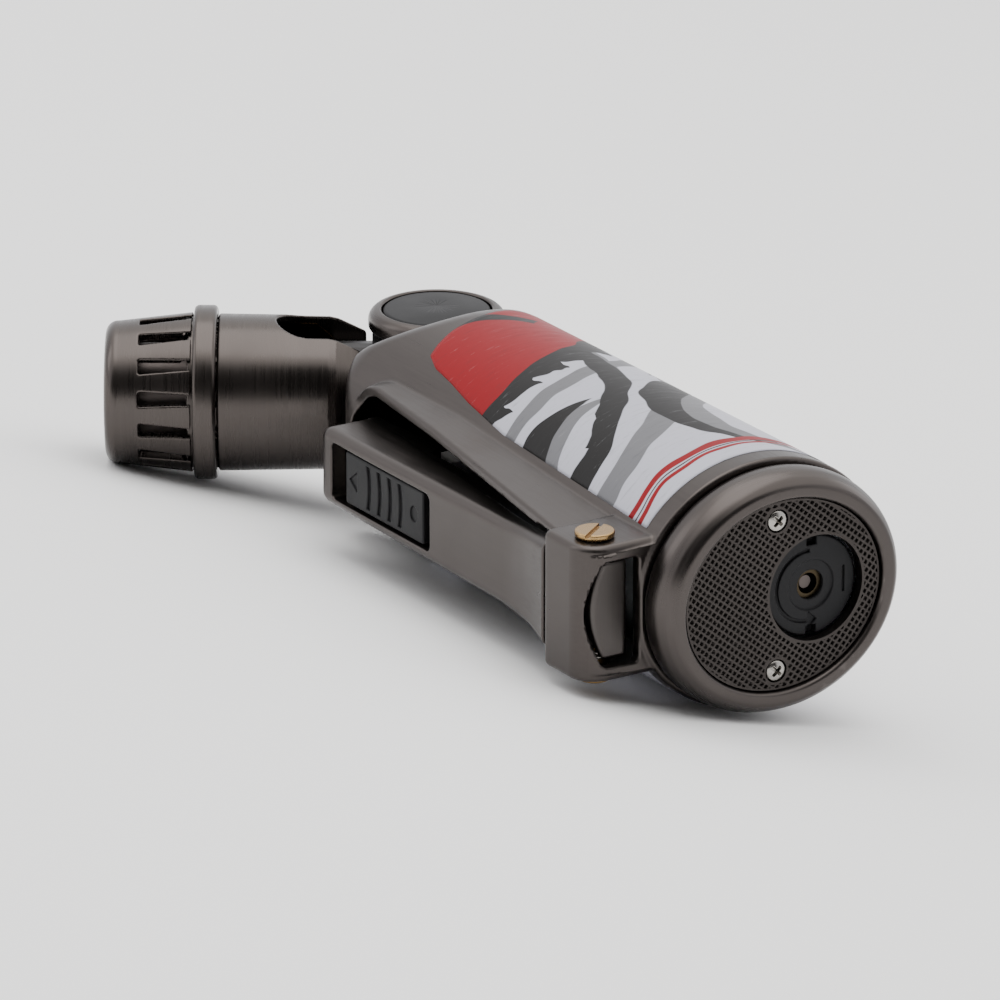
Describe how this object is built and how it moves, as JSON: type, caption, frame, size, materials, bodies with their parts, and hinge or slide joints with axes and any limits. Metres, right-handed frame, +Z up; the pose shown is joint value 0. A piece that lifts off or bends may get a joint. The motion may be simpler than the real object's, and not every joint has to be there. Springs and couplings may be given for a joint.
{
  "type": "pocket torch lighter",
  "caption": "Pocket gas torch lighter with an oval metal body, a squeeze lever with a lock slider, a swivelling slotted burner nozzle and a refill base.",
  "frame": {"origin": "centre of the bounding box in plan, at the ground the lighter lies on", "axes": "+Y from the base to the swivel head, -X towards the lever and the burner's mouth, +Z up from the ground"},
  "size_m": [0.0514, 0.1122, 0.0312],
  "materials": {
    "gunmetal": "satin brushed gunmetal plating",
    "dark_steel": "dark oxidised steel",
    "nickel": "bright nickel",
    "brass": "turned brass",
    "black_plastic": "satin black plastic",
    "label_film": "satin printed film",
    "tank_plastic": "smooth translucent plastic",
    "rubber": "matt rubber",
    "ceramic": "matt ceramic"
  },
  "bodies": {
    "case": {"housing": "gunmetal", "label_wrap": "label_film", "base_ring": "gunmetal", "base_plate": "gunmetal", "base_screw_upper": "nickel", "base_screw_lower": "nickel", "filler_valve_body": "brass", "filler_seal_ring": "rubber", "gas_tank": "tank_plastic", "release_valve_body": "brass", "valve_bracket": "dark_steel", "rocker_pin": "dark_steel", "gas_hose": "rubber", "igniter_lead": "rubber", "piezo_body": "black_plastic", "lever_pivot_screw": "brass", "lever_return_spring": "nickel", "head_frame": "dark_steel", "swivel_pin": "dark_steel", "cap_ring_upper": "gunmetal", "cap_ring_lower": "gunmetal", "cap_insert_upper": "black_plastic", "cap_insert_lower": "black_plastic"},
    "trigger": {"trigger_lever": "gunmetal", "lever_core": "dark_steel", "detent_plate": "nickel"},
    "slider": {"lock_slider": "black_plastic"},
    "flame_wheel": {"adjuster_wheel": "black_plastic"},
    "filler_stem": {"filler_valve_stem": "nickel"},
    "release_stem": {"release_valve_stem": "nickel"},
    "rocker": {"valve_rocker": "nickel"},
    "plunger": {"piezo_plunger": "ceramic"},
    "burner_head": {"nozzle_hub": "dark_steel", "nozzle_barrel": "gunmetal", "collar_ring": "gunmetal", "nose_cap": "gunmetal", "burner_tube": "nickel", "flame_mesh": "dark_steel", "jet": "brass", "gas_feed_tube": "nickel", "electrode_insulator": "ceramic", "electrode": "nickel"}
  },
  "joints": [
    {"name": "trigger_press", "type": "hinge", "parent": "case", "child": "trigger", "pos_m": [-0.01109, -0.04629, 0.01087], "axis": [0.2419, 0, -0.9703], "range_deg": [0, 7], "stiffness_Nm_per_rad": 1.5, "springref_deg": -4.58},
    {"name": "lock_slide", "type": "slide", "parent": "trigger", "child": "slider", "axis": [0, 1, 0], "range_m": [0, 0.0026]},
    {"name": "flame_adjust", "type": "hinge", "parent": "case", "child": "flame_wheel", "pos_m": [0.01307, -0.05439, 0.0169], "axis": [0, 1, 0], "range_deg": [-135, 135]},
    {"name": "filler_press", "type": "slide", "parent": "case", "child": "filler_stem", "axis": [0, 1, 0], "range_m": [0, 0.0015], "stiffness_N_per_m": 300, "springref_m": -0.002},
    {"name": "release_lift", "type": "slide", "parent": "case", "child": "release_stem", "axis": [0, 1, 0], "range_m": [0, 0.00092]},
    {"name": "rocker_tilt", "type": "hinge", "parent": "case", "child": "rocker", "pos_m": [0.00084, -0.00589, 0.01385], "axis": [-0.2419, 0, 0.9703], "range_deg": [0, 4.65]},
    {"name": "plunger_push", "type": "slide", "parent": "case", "child": "plunger", "axis": [0.9703, 0, 0.2419], "range_m": [0, 0.00565]},
    {"name": "head_swivel", "type": "hinge", "parent": "case", "child": "burner_head", "pos_m": [0.0122, 0.02731, 0.01668], "axis": [-0.2419, 0, 0.9703], "range_deg": [-57.5, 4]}
  ],
  "couplings": [
    {"joint": "release_lift", "follows": "trigger_press", "m_per_rad": 0.007367},
    {"joint": "rocker_tilt", "follows": "trigger_press", "ratio": 0.65714},
    {"joint": "plunger_push", "follows": "trigger_press", "m_per_rad": 0.045837}
  ]
}
